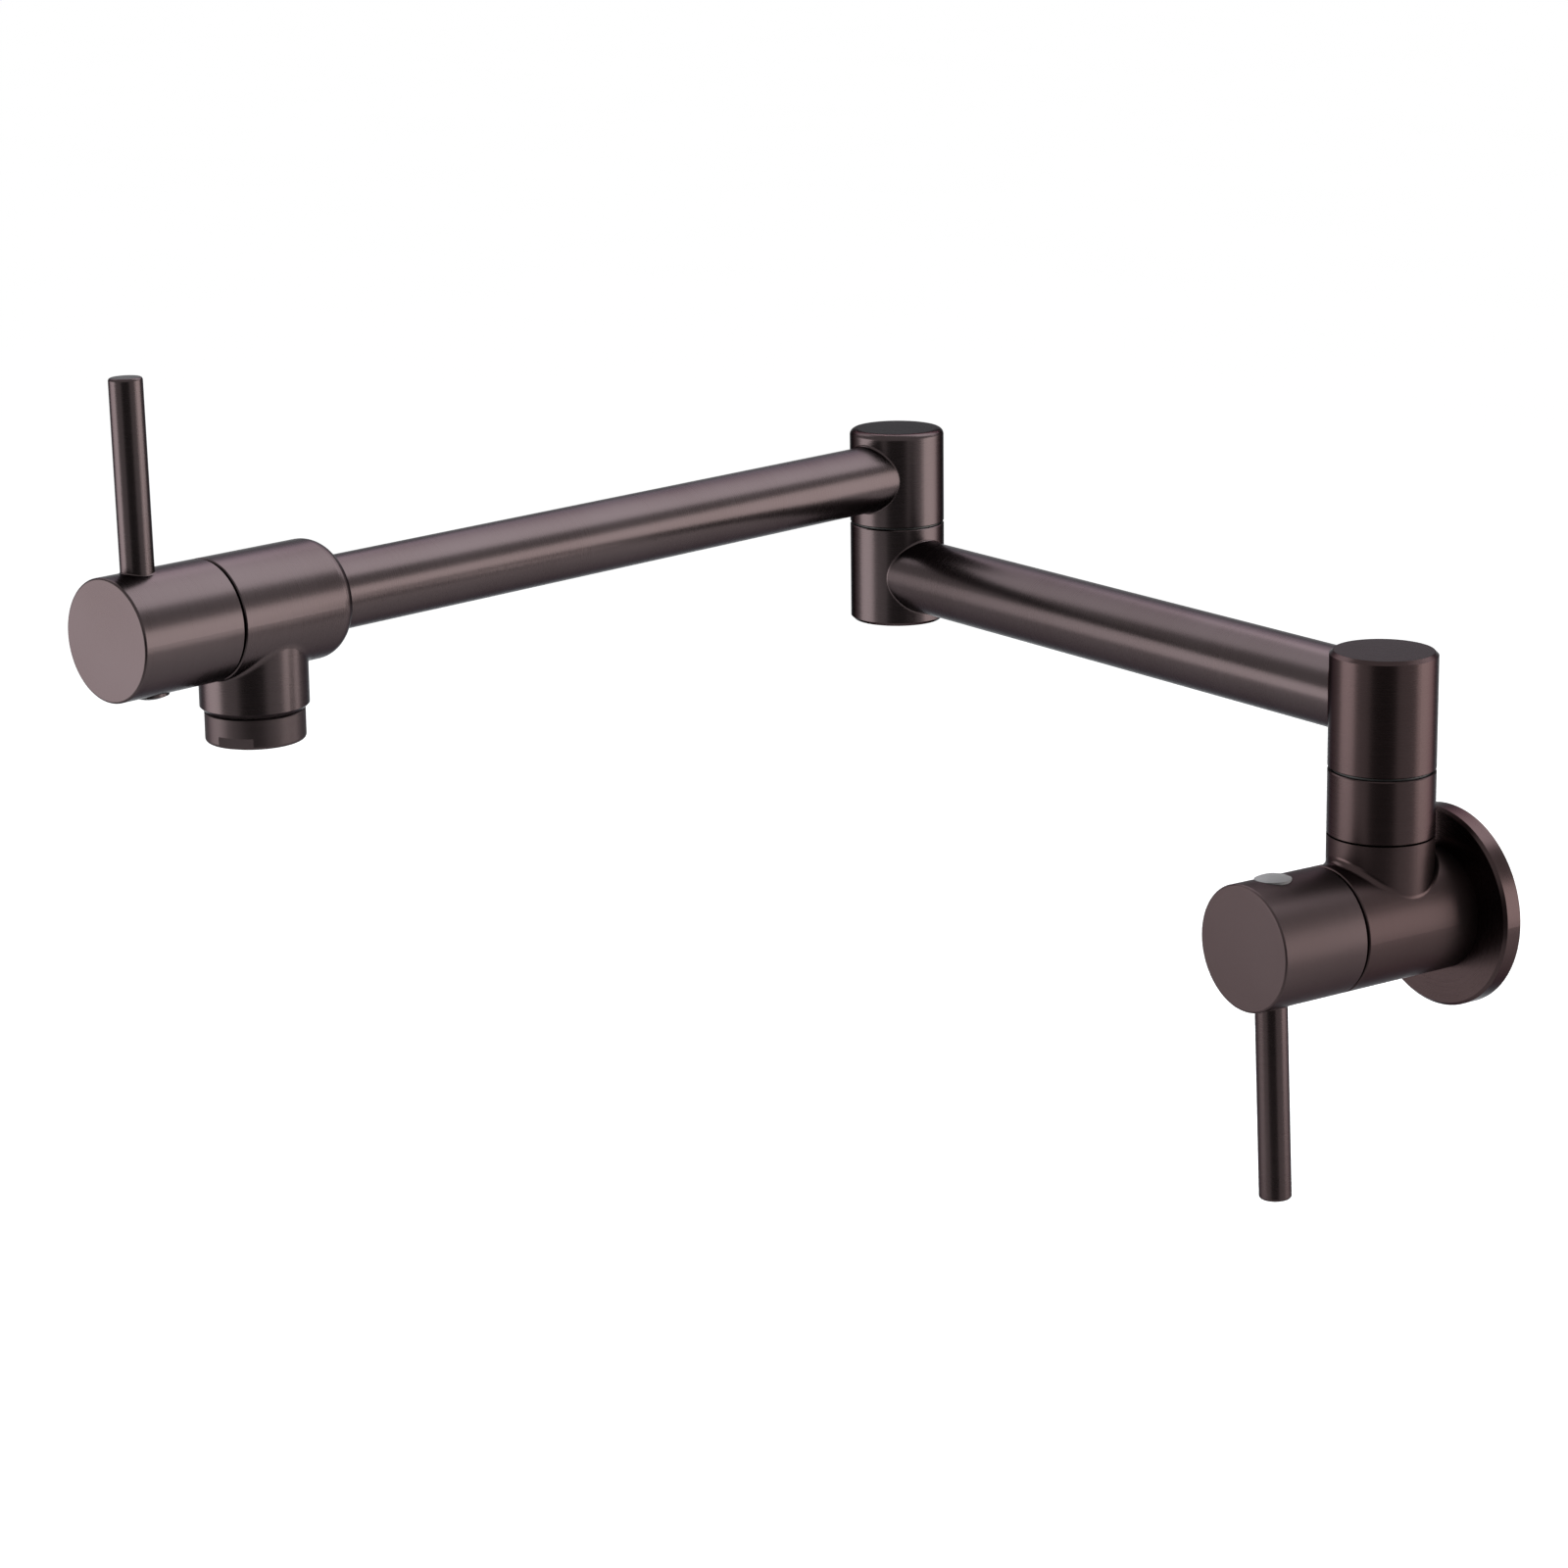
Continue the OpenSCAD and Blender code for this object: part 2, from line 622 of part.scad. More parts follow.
// Lower arm.
module swivel_head() color(bronze_dark) at_head() turning_sleeve(head_z, head_bearing_h, head_top,
    head_cap_t, lower_tube_d, lower_z, lower_turn, 0);
module swivel_head_cap() color(bronze_dark) {
    at_head() translate([0, 0, head_top - head_cap_t]) cylinder(d = cap_d(0), h = head_cap_t);
}
module lower_arm_tube() color(bronze) {
    at_head() rotate([0, 0, lower_turn]) translate([0, 0, lower_z]) difference() {
        along_arm(lower_tube_d, lower_reach);
        translate([-over, 0, 0]) along_arm(lower_tube_d - 2 * tube_wall, lower_reach + 2 * over);
        cylinder(d = core_d, h = column_d * 2, center = true);
        translate([lower_reach, 0, 0]) cylinder(d = core_d, h = column_d * 2, center = true);
    }
}
module elbow_lower_sleeve() color(bronze) at_elbow() difference() {
    translate([0, 0, elbow_z]) turned([[0, 0], [column_d / 2 - head_bevel, 0],
        [column_d / 2, head_bevel], [column_d / 2, lower_sleeve_top - elbow_z - edge],
        [column_d / 2 - edge, lower_sleeve_top - elbow_z], [0, lower_sleeve_top - elbow_z]]);
    translate([0, 0, lower_z]) cylinder(d = stem_bore, h = elbow_stem_z - lower_z + over);
    translate([0, 0, elbow_stem_z])
        cylinder(d = stem_d + 2 * seat_fit, h = lower_sleeve_top - elbow_stem_z + over);
    tube_cut(lower_tube_d, cross_d, lower_z, lower_turn + 180);
}
module elbow_stem() color(plain_brass) at_elbow() swivel_stem(elbow_stem_z, upper_sleeve_z, elbow_bearing_h);
module elbow_seal_rings() color(dark_rubber) at_elbow() stem_seals(upper_sleeve_z, elbow_bearing_h);
module elbow_bearing_washer() color(dark_plastic) at_elbow() bearing_washer(lower_sleeve_top, elbow_gap);
module elbow_retaining_nut() color(plain_brass) at_elbow() retaining_nut(upper_sleeve_z, elbow_bearing_h);

// Upper arm.
module elbow_upper_sleeve() color(bronze) at_elbow() turning_sleeve(upper_sleeve_z, elbow_bearing_h,
    elbow_top, elbow_cap_t, upper_tube_d, upper_z, upper_turn, elbow_round);
module elbow_cap() color(bronze) {
    at_elbow() translate([0, 0, elbow_top - elbow_cap_t]) cylinder(d = cap_d(elbow_round), h = elbow_cap_t);
}
module upper_arm_tube() color(bronze) {
    at_elbow() rotate([0, 0, upper_turn]) translate([0, 0, upper_z]) difference() {
        along_arm(upper_tube_d, upper_tube_end);
        translate([-over, 0, 0]) along_arm(upper_tube_d - 2 * tube_wall, upper_tube_end + 2 * over);
        cylinder(d = core_d, h = column_d * 2, center = true);
    }
}

// Spout body with its downward pipe.
module spout_body() color(bronze) {
    difference() {
        union() {
            at_spout_valve() translate([0, 0, -spout_front - spout_back]) turned(concat(
                [[0, 0]],
                arc([spout_d / 2 - spout_round, spout_round], spout_round, -90, 0),
                [[spout_d / 2, spout_front + spout_back - edge],
                    [spout_d / 2 - edge, spout_front + spout_back], [0, spout_front + spout_back]]));
            at_spout() translate([0, 0, upper_z - pipe_drop]) turned([[0, 0],
                [pipe_d / 2 - pipe_bevel, 0], [pipe_d / 2, pipe_bevel], [pipe_d / 2, pipe_drop],
                [0, pipe_drop]]);
        }
        at_spout_valve() {
            cartridge_cut();
            translate([0, 0, -spout_front - spout_back - over])
                cylinder(d = upper_tube_d + 2 * seat_fit, h = tube_socket + over);
            translate([0, 0, -spout_front - spout_back])
                cylinder(d = seat_bore, h = spout_front + spout_back - cart_depth + over);
        }
        at_spout() translate([0, 0, upper_z - pipe_drop - over])
            cylinder(d = aerator_thread_d + 2 * seat_fit, h = pipe_thread_h + over);
        at_spout() translate([0, 0, upper_z - pipe_drop]) cylinder(d = pipe_bore, h = pipe_drop);
    }
}

// Spout cartridge.
module spout_cartridge_seat() color(dark_rubber) at_spout_valve() cartridge_seat();
module spout_fixed_disc() color(white_ceramic) at_spout_valve() ceramic_disc(fixed_disc_z);
module spout_turning_disc() color(white_ceramic) at_spout_handle() turning_disc();
module spout_cartridge_housing() color(plain_brass) at_spout_valve() cartridge_housing();
module spout_spindle() color(plain_brass) at_spout_handle() spindle();
module spout_spindle_seal() color(dark_rubber) at_spout_handle() spindle_seal();
module spout_gland_nut() color(plain_brass) at_spout_valve() gland_nut();

// Spout handle. Its lever points up.
module spout_handle_cap() color(bronze) at_spout_handle() handle_cap(spout_d, spout_cap_front, spout_lever_z);
module spout_handle_lever() color(bronze) {
    at_spout_handle() handle_lever(spout_d, spout_lever_z, spout_lever_len);
}
module spout_handle_screw() color(steel) at_spout_handle() handle_screw(spout_lever_z);
module spout_handle_plug() color(bronze) {
    at_spout_handle() handle_plug(spout_d, spout_lever_z, spout_plug_proud);
}

// Aerator in the end of the pipe.
module aerator_housing() color(bronze) at_aerator() difference() {
    union() {
        turned(concat([[0, 0]],
            arc([aerator_d / 2 - aerator_round, aerator_round], aerator_round, -90, 0),
            [[aerator_d / 2, aerator_h - edge], [aerator_d / 2 - edge, aerator_h], [0, aerator_h]]));
        cylinder(d = aerator_thread_d, h = aerator_h + aerator_gap + aerator_thread_h);
    }
    translate([0, 0, -over]) cylinder(d = aerator_lip_d, h = aerator_lip + 2 * over);
    translate([0, 0, aerator_lip])
        cylinder(d = aerator_bore, h = aerator_h + aerator_gap + aerator_thread_h);
    for (turn = [0, 180])
        rotate([0, 0, turn]) translate([-aerator_d / 2, -aerator_d * 3 / 2 + aerator_flat, -over])
            cube([aerator_d, aerator_d, aerator_flat_h + over]);
}
module aerator_screen() color(white_plastic) at_aerator() difference() {
    translate([0, 0, aerator_lip]) cylinder(d = aerator_bore - 2 * seat_fit, h = screen_t);
    for (ix = [-3:3])
        for (iy = [-3:3])
            if (abs(ix + iy) <= 3)
                translate([(ix + iy / 2) * screen_pitch, iy * screen_pitch * cos(30), aerator_lip - over])
                    cylinder(d = screen_hole, h = screen_t + 2 * over, $fn = 16);
}
module aerator_insert() color(white_plastic) at_aerator() difference() {
    translate([0, 0, aerator_lip + screen_t + insert_gap])
        cylinder(d = aerator_bore - 2 * seat_fit, h = insert_h);
    translate([0, 0, aerator_lip + screen_t]) {
        cylinder(d = insert_hole, h = insert_h + insert_gap + over);
        for (row = [0:1])
            for (i = [0:insert_row_counts[row] - 1])
                rotate([0, 0, i * 360 / insert_row_counts[row]])
                    translate([insert_row_shares[row] * aerator_bore / 2, 0, 0])
                        cylinder(d = insert_hole, h = insert_h + insert_gap + over, $fn = 16);
    }
}
module aerator_washer() color(dark_rubber) at_aerator() {
    translate([0, 0, aerator_h + aerator_gap + aerator_thread_h])
        flat_ring(aerator_thread_d - 2 * washer_play, pipe_bore, aerator_washer_t);
}

wall_flange();
wall_gasket();
valve_body();
wall_cartridge_seat();
wall_fixed_disc();
wall_turning_disc();
wall_cartridge_housing();
wall_spindle();
wall_spindle_seal();
wall_gland_nut();
wall_handle_cap();
wall_handle_lever();
wall_handle_screw();
wall_handle_plug();
collar_ring();
head_stem();
head_seal_rings();
head_bearing_washer();
head_retaining_nut();
swivel_head();
swivel_head_cap();
lower_arm_tube();
elbow_lower_sleeve();
elbow_stem();
elbow_seal_rings();
elbow_bearing_washer();
elbow_retaining_nut();
elbow_upper_sleeve();
elbow_cap();
upper_arm_tube();
spout_body();
spout_cartridge_seat();
spout_fixed_disc();
spout_turning_disc();
spout_cartridge_housing();
spout_spindle();
spout_spindle_seal();
spout_gland_nut();
spout_handle_cap();
spout_handle_lever();
spout_handle_screw();
spout_handle_plug();
aerator_housing();
aerator_insert();
aerator_screen();
aerator_washer();
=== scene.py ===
# %% [markdown]
# # A wall mounted folding tap in brushed dark bronze
# The tap is a lever valve on the wall, a swivel column, two tubes that fold over each other, and a
# second valve with its outlet. The construction arrives as a finished frame of solids. This lesson
# dresses it: the brushed finish, the small fillets that a caster leaves where round parts meet, the
# studio and the camera. Nothing in the frame is moved or resized.

# %% Load the frame
import bpy
import json
import math
from mathutils import Matrix, Vector


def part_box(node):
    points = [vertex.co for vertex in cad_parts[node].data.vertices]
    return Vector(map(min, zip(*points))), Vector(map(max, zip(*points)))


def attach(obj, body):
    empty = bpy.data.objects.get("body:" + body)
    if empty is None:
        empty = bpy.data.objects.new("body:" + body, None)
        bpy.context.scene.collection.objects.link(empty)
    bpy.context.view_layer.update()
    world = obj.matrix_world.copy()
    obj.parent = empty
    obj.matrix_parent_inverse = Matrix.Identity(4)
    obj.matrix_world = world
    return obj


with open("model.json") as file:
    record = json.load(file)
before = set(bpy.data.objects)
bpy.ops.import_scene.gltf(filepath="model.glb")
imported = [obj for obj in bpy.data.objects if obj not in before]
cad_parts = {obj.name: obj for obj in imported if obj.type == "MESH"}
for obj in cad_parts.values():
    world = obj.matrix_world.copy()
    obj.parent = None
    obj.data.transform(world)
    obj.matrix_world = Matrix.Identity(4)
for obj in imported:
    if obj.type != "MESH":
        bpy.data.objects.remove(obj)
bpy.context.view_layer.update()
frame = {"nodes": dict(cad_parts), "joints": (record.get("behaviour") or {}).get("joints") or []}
nodes = frame["nodes"]
MM = 0.001
UP = Vector((0, 0, 1))

# %% [markdown]
# ## Reading the sizes off the frame
# The places of the added pieces could be typed in as numbers, but then they would miss the tap as soon
# as the frame is made again with other sizes. So they are read off the solids. Each joint tells where
# its axis stands and which way it points, which gives the two columns and the two valves. Half the
# width of a round part's box is its radius. The lower arm points from one column to the next.

# %% Axes and radii
X, Y, Z = range(3)


def middle(name):
    low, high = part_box(name)
    return (low + high) / 2


def radius_of(name, side):
    low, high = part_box(name)
    return (high[side] - low[side]) / 2


def joint(name):
    """A point on a joint's axis, and the axis's direction."""
    found = next(j for j in frame["joints"] if j["name"] == name)
    return Vector(found["pos_m"]), Vector(found["axis"])


head_point, _ = joint("wall_swivel")
elbow_point, _ = joint("elbow_swivel")
spout_point, OUTWARD = joint("spout_handle_turn")
valve_point, FRONT = joint("wall_handle_turn")
valve_point.y = 0
LOWER = Vector((elbow_point.x - head_point.x, elbow_point.y - head_point.y, 0)).normalized()
column_r = radius_of("collar_ring", X)
print("lower arm", [round(c, 3) for c in LOWER], "upper arm", [round(c, 3) for c in OUTWARD])
print("column radius", round(column_r / MM, 2), "mm")

# %% [markdown]
# ## The camera
# The photograph was taken from the right and a little above, with a long lens, so parallel tubes stay
# nearly parallel. A camera could be moved by hand until the picture looks right, but the tubes are long
# and thin, and a small error shows at their ends. So the values below were fitted to the edges of the
# columns, tubes and caps. The frame of the picture is moved down on the lens a little, as an
# architect's camera does.

# %% Camera
PICTURE = 1600
FOCAL_PX = 3916.5
FRAME_CENTRE_Y = 560
SENSOR = 36
TURN, PITCH, ROLL = (math.radians(a) for a in (56.495, 11.526, -0.689))
CAMERA_PLACE = Vector((0.81617, -0.77865, 0.33731))

forward = Vector((-math.sin(TURN), math.cos(TURN), 0))
right = Vector((math.cos(TURN), math.sin(TURN), 0))
look = math.cos(PITCH) * forward - math.sin(PITCH) * UP
above = math.cos(PITCH) * UP + math.sin(PITCH) * forward
side = math.cos(ROLL) * right + math.sin(ROLL) * above
top = math.cos(ROLL) * above - math.sin(ROLL) * right

camera = bpy.data.objects.new("camera", bpy.data.cameras.new("camera"))
bpy.context.scene.collection.objects.link(camera)
camera.data.sensor_width = SENSOR
camera.data.lens = FOCAL_PX / PICTURE * SENSOR
camera.data.shift_y = (FRAME_CENTRE_Y - PICTURE / 2) / PICTURE
pointing = Matrix((side, top, -look)).transposed().to_4x4()
camera.matrix_world = Matrix.Translation(CAMERA_PLACE) @ pointing
bpy.context.scene.camera = camera
print("lens", round(camera.data.lens, 2), "mm, shift", camera.data.shift_y)

# %% [markdown]
# ## Shader maths as plain sums
# A shader node tree is a sum written with boxes and wires. It could be built node by node, but then
# the sum is hard to see. The class `Wire` wraps one wire, so that `0.3 + 0.1 * grain` adds the Math
# nodes by itself. Colours and vectors take the vector nodes. All other nodes come from one method,
# `node`, which sets a node's own options before its inputs. Inputs that share a name are given by
# their place in the node's list.

# %% A wire with operators
class Wire:
    def __init__(self, tree, socket):
        self.tree, self.socket = tree, socket

    def _sum(self, operation, first, second):
        flat = all(not isinstance(w, Wire) or w.socket.type == "VALUE" for w in (first, second))
        made = self.tree.nodes.new("ShaderNodeMath" if flat else "ShaderNodeVectorMath")
        made.operation = operation
        for value, socket in zip((first, second), made.inputs):
            plug(self.tree, value, socket)
        return Wire(self.tree, made.outputs[0])

    def __add__(self, other):
        return self._sum("ADD", self, other)

    def __sub__(self, other):
        return self._sum("SUBTRACT", self, other)

    def __rsub__(self, other):
        return self._sum("SUBTRACT", other, self)

    def __mul__(self, other):
        return self._sum("MULTIPLY", self, other)

    def __gt__(self, other):
        return self._sum("GREATER_THAN", self, other)

    def __lt__(self, other):
        return self._sum("LESS_THAN", self, other)

    __radd__ = __add__
    __rmul__ = __mul__


def plug(tree, value, socket):
    if isinstance(value, Wire):
        tree.links.new(value.socket, socket)
    elif socket.type == "VALUE":
        socket.default_value = value
    else:
        spread = (value,) * 3 if isinstance(value, (int, float)) else tuple(value)
        socket.default_value = spread + (1,) * (len(socket.default_value) - len(spread))


print("a wire knows + - * > <")

# %% A shading, which is the node tree of one material or of the sky
MIX_LOW, MIX_HIGH, MIX_RESULT = 6, 7, 2


class Shading:
    def __init__(self, owner, last):
        owner.use_nodes = True
        self.tree = owner.node_tree
        self.last = next(n for n in self.tree.nodes if n.type == last)

    def node(self, kind, out=0, settings=(), places=(), **inputs):
        made = self.tree.nodes.new("ShaderNode" + kind)
        for key, value in dict(settings).items():
            setattr(made, key, value)
        for key, value in inputs.items():
            plug(self.tree, value, made.inputs[key.replace("_", " ")])
        for place, value in dict(places).items():
            plug(self.tree, value, made.inputs[place])
        return Wire(self.tree, made.outputs[out])

    def dot(self, wire, direction):
        return self.node("VectorMath", out="Value", settings={"operation": "DOT_PRODUCT"},
                         places={0: wire, 1: direction})

    def length(self, wire):
        return self.node("VectorMath", out="Value", settings={"operation": "LENGTH"}, places={0: wire})

    def blend(self, factor, low, high):
        return self.node("Mix", out=MIX_RESULT, settings={"data_type": "RGBA"},
                         places={0: factor, MIX_LOW: low, MIX_HIGH: high})

    def set(self, **inputs):
        for key, value in inputs.items():
            plug(self.tree, value, self.last.inputs[key.replace("_", " ")])


class Finish(Shading):
    def __init__(self, name):
        self.material = bpy.data.materials.new(name)
        super().__init__(self.material, "BSDF_PRINCIPLED")


print("a shading can", [m for m in vars(Shading) if not m.startswith("_")])

# %% [markdown]
# ## Brushed bronze
# The plating is dark brown with a mauve bloom. Each turned part is brushed while it spins in the
# lathe, so the scratches run round its axis, and on a flat end they are rings. A picture of scratches
# could be wrapped round each part, but its seam would show. Noise that is squeezed along the axis and
# along the radius, and left long round the axis, has no seam and gives both with one formula. It needs
# four coordinates, because the way round takes two. The scratches change the colour and the gloss a
# little and lift the surface by microns. A body that carries a branch, such as the spout body with its
# outlet pipe, changes to the branch's axis outside the body's own radius. A plating this dark reflects
# less at a grazing angle, which draws the dark outline of every part.

# %% Scratches round an axis
# Scratches per metre along the axis, along the radius, and round the axis, where they are long.
SCRATCH, FACE_SCRATCH, SCRATCH_LONG = 3600, 9000, 16


def round_axis(paint, axis, centre):
    """The four noise coordinates, as a vector and a number, and the distance from the axis."""
    across = axis.orthogonal().normalized()
    point = paint.node("TexCoord", out="Object") - tuple(centre)
    along = paint.dot(point, axis)
    flat = point - paint.node("CombineXYZ", X=along * axis.x, Y=along * axis.y, Z=along * axis.z)
    radius = paint.length(flat)
    place = paint.node("CombineXYZ", X=along * SCRATCH, Y=radius * FACE_SCRATCH,
                       Z=paint.dot(flat, across) * SCRATCH_LONG)
    return place, paint.dot(flat, axis.cross(across)) * SCRATCH_LONG, radius


print("a scratch every", round(1 / SCRATCH / MM, 2), "mm along the axis")

# %% Bronze
MICRON = 0.001 * MM
BLOOM_SCALE = 26
# Single scratches, and the wider bands that they gather in.
GRAIN_SCALE, BANDS_SCALE = 1, 0.16
GRAIN_SHARE = 0.6
SCRATCH_SHARE = 0.45
SCRATCH_GLOSS, BLOOM_GLOSS = 0.09, 0.05
SCRATCH_LIFT, SCRATCH_DEPTH = 0.35, 20 * MICRON
EDGE_MAUVE = (0, 0.01, 0.02)


def bronze(name, axis, centre, tones, branch, gloss, edge):
    paint = Finish(name)
    place, place_w, radius = round_axis(paint, axis, centre)
    if branch:
        branch_axis, branch_centre, body_radius = branch
        branch_place, branch_w, _ = round_axis(paint, branch_axis, branch_centre)
        outside = radius > body_radius
        place = place + (branch_place - place) * outside
        place_w = place_w + (branch_w - place_w) * outside
    wide = {"noise_dimensions": "4D"}
    grain = paint.node("TexNoise", settings=wide, Vector=place, W=place_w, Scale=GRAIN_SCALE, Detail=3)
    bands = paint.node("TexNoise", settings=wide, Vector=place, W=place_w, Scale=BANDS_SCALE, Detail=2)
    point = paint.node("TexCoord", out="Object")
    bloom = paint.node("TexNoise", Vector=point, Scale=BLOOM_SCALE, Detail=2)
    scratches = GRAIN_SHARE * grain + (1 - GRAIN_SHARE) * bands
    paint.set(
        Base_Color=paint.blend(SCRATCH_SHARE * scratches + (1 - SCRATCH_SHARE) * bloom, *tones),
        Metallic=1,
        Roughness=gloss + SCRATCH_GLOSS * (scratches - 0.5) + BLOOM_GLOSS * (bloom - 0.5),
        Specular_Tint=[edge + mauve for mauve in EDGE_MAUVE],
        Normal=paint.node("Bump", Strength=SCRATCH_LIFT, Distance=SCRATCH_DEPTH, Height=scratches))
    return paint.material


print("a scratch is up to", round(SCRATCH_LIFT * SCRATCH_DEPTH / MICRON, 1), "microns deep")

# %% [markdown]
# ## A bronze for each lathe axis
# On the real tap all parts have one plating, and one material could serve them all if it were told
# each part's axis. The axis is a fixed number inside the node tree, so each axis gets a material of its
# own here, from the same formula. The wall side of the tap is a shade darker in the photograph than the
# spout side, mostly from how the light falls there, and its cap and lever are a little warmer. So the
# wall side gets a darker copy of the bronze, and its cap and lever a warmer one: painted shade. The
# valve body and the spout body carry a branch.

# %% The levers' own directions
wall_r = radius_of("wall_handle_cap", X)
body_r = radius_of("spout_handle_cap", Z)


def rod_axis(name, turning, foot):
    """Square to the cap's axis, through the middle of the rod."""
    out = middle(name) - foot
    return (out - out.dot(turning) * turning).normalized()


wall_rod = rod_axis("wall_handle_lever", FRONT, valve_point)
spout_rod = rod_axis("spout_handle_lever", OUTWARD, spout_point)
print("levers lean", [round(math.degrees(v.angle(e)), 2) for v, e in ((wall_rod, -UP), (spout_rod, UP))])

# %% Tones, axes and gloss of the turned parts
BRONZE = (0.036, 0.0265, 0.0265), (0.056, 0.0445, 0.0460)
# Painted shade: a warmer, slightly darker copy of the one bronze for the wall cap and lever, and a darker
# copy for the wall side.
WARM_SHADED_BRONZE = (0.036, 0.025, 0.025), (0.056, 0.042, 0.043)
SHADED_BRONZE = (0.029, 0.019, 0.019), (0.046, 0.032, 0.032)
# How far outside the body's own radius the brushing of its branch begins.
SKIN = 0.1 * MM

lower_start = Vector((head_point.x, head_point.y, middle("lower_arm_tube").z))
turned_parts = {
    "column": (UP, head_point, SHADED_BRONZE, "collar_ring", "swivel_head", "swivel_head_cap"),
    "wall_valve": (FRONT, valve_point, SHADED_BRONZE, "valve_body"),
    "wall_plate": (FRONT, valve_point, SHADED_BRONZE, "wall_flange"),
    "wall_cap": (FRONT, valve_point, WARM_SHADED_BRONZE, "wall_handle_cap"),
    "wall_lever": (wall_rod, middle("wall_handle_lever"), WARM_SHADED_BRONZE, "wall_handle_lever"),
    "lower_arm": (LOWER, lower_start, BRONZE, "lower_arm_tube"),
    "elbow": (UP, elbow_point, BRONZE, "elbow_lower_sleeve", "elbow_upper_sleeve", "elbow_cap"),
    "upper_arm": (OUTWARD, spout_point, BRONZE, "upper_arm_tube", "spout_handle_cap"),
    "outlet": (OUTWARD, spout_point, BRONZE, "spout_body"),
    "aerator": (UP, spout_point, BRONZE, "aerator_housing"),
    "spout_lever": (spout_rod, middle("spout_handle_lever"), BRONZE, "spout_handle_lever"),
    "spout_plug": (UP, middle("spout_handle_plug"), BRONZE, "spout_handle_plug"),
}
branches = {
    "wall_valve": (UP, head_point, wall_r + SKIN),
    "outlet": (UP, spout_point, body_r + SKIN),
}
# Roughness, and how much a grazing edge still reflects.
USUAL_SHINE = (0.28, 0.40)
SHINE = {
    "wall_valve": (0.38, 0.40),
    "wall_cap": (0.42, 0.40),
    "elbow": (0.28, 0.26),
    "aerator": (0.42, 0.40),
}
print("bronzes", len(turned_parts), "of which with a branch", len(branches))

# %% Bronze on each turned part
dressed = set()
bronzes = {}


def dress(node_name, material):
    mesh = nodes[node_name].data
    mesh.materials.clear()
    mesh.materials.append(material)
    dressed.add(node_name)


for part, (axis, centre, tones, *names) in turned_parts.items():
    shine = SHINE.get(part, USUAL_SHINE)
    bronzes[part] = bronze("bronze_" + part, axis, centre, tones, branches.get(part), *shine)
    for name in names:
        dress(name, bronzes[part])
print("bronze on", len(dressed), "nodes")

# %% [markdown]
# ## The parts inside
# Turned brass, steel, ceramic, rubber and plastic fill the tap. One grey would do for parts that hardly
# show, but the tap has to look right with a cap taken off. Each needs little: a colour that wanders
# between two tones, a gloss that wanders too, and a fine bump, so one formula with other values serves
# them all. The gland nuts lie behind the narrow gaps of the caps, where little light gets in, so their
# brass is painted dark brown: painted shade of the gap.

# %% A plain finish
SPECK_FINER = 9
SPECK_GLOSS = 0.15


def plain(name, names, dark, light, metal, gloss, clouds, lift):
    """`clouds` is their number per metre, and `lift` is the bump's height in microns."""
    paint = Finish(name)
    point = paint.node("TexCoord", out="Object")
    cloud = paint.node("TexNoise", Vector=point, Scale=clouds, Detail=4)
    speck = paint.node("TexNoise", Vector=point, Scale=clouds * SPECK_FINER, Detail=2)
    paint.set(
        Base_Color=paint.blend(cloud, dark, light),
        Metallic=metal,
        Roughness=gloss + SPECK_GLOSS * (speck - 0.5),
        Normal=paint.node("Bump", Strength=0.3, Distance=lift * MICRON, Height=0.5 * cloud + 0.5 * speck))
    for node_name in names:
        dress(node_name, paint.material)


def each(starts, ends):
    return [start + "_" + end for start in starts for end in ends]


VALVES, COLUMNS = ("wall", "spout"), ("head", "elbow")
print("inner parts that come twice, by", VALVES, "and by", COLUMNS)

# %% The metals inside
plain("turned_brass",
      each(VALVES, ("cartridge_housing", "spindle")) + each(COLUMNS, ("stem", "retaining_nut")),
      dark=(0.50, 0.35, 0.15), light=(0.70, 0.52, 0.26), metal=1, gloss=0.3, clouds=160, lift=20)
# Painted shade: the gland nuts' brass is darkened for the shade in the narrow gaps of the caps.
plain("brass_painted_shade", each(VALVES, ["gland_nut"]),
      dark=(0.075, 0.052, 0.030), light=(0.120, 0.085, 0.050), metal=1, gloss=0.5, clouds=160, lift=20)
plain("steel", each(VALVES, ["handle_screw"]),
      dark=(0.42, 0.42, 0.43), light=(0.62, 0.62, 0.63), metal=1, gloss=0.32, clouds=200, lift=20)
print("dressed", len(dressed), "nodes")

# %% Ceramic, rubber and plastic
plain("lapped_ceramic", each(VALVES, ("fixed_disc", "turning_disc")),
      dark=(0.80, 0.80, 0.78), light=(0.88, 0.88, 0.86), metal=0, gloss=0.15, clouds=90, lift=5)
plain("black_rubber",
      ["wall_gasket", "aerator_washer"] + each(COLUMNS, ["seal_rings"])
      + each(VALVES, ("cartridge_seat", "spindle_seal")),
      dark=(0.009, 0.009, 0.009), light=(0.018, 0.0175, 0.017), metal=0, gloss=0.6, clouds=120, lift=30)
plain("white_plastic", ["aerator_insert", "aerator_screen"],
      dark=(0.66, 0.66, 0.63), light=(0.76, 0.76, 0.73), metal=0, gloss=0.4, clouds=110, lift=10)
plain("bearing_plastic", each(COLUMNS, ["bearing_washer"]),
      dark=(0.008, 0.007, 0.007), light=(0.016, 0.015, 0.015), metal=0, gloss=0.5, clouds=110, lift=10)
plain("grey_plastic", ["wall_handle_plug"],
      dark=(0.125, 0.119, 0.122), light=(0.156, 0.150, 0.153), metal=0, gloss=0.6, clouds=140, lift=10)
print("dressed", len(dressed), "nodes, bare", sorted(set(nodes) - dressed))

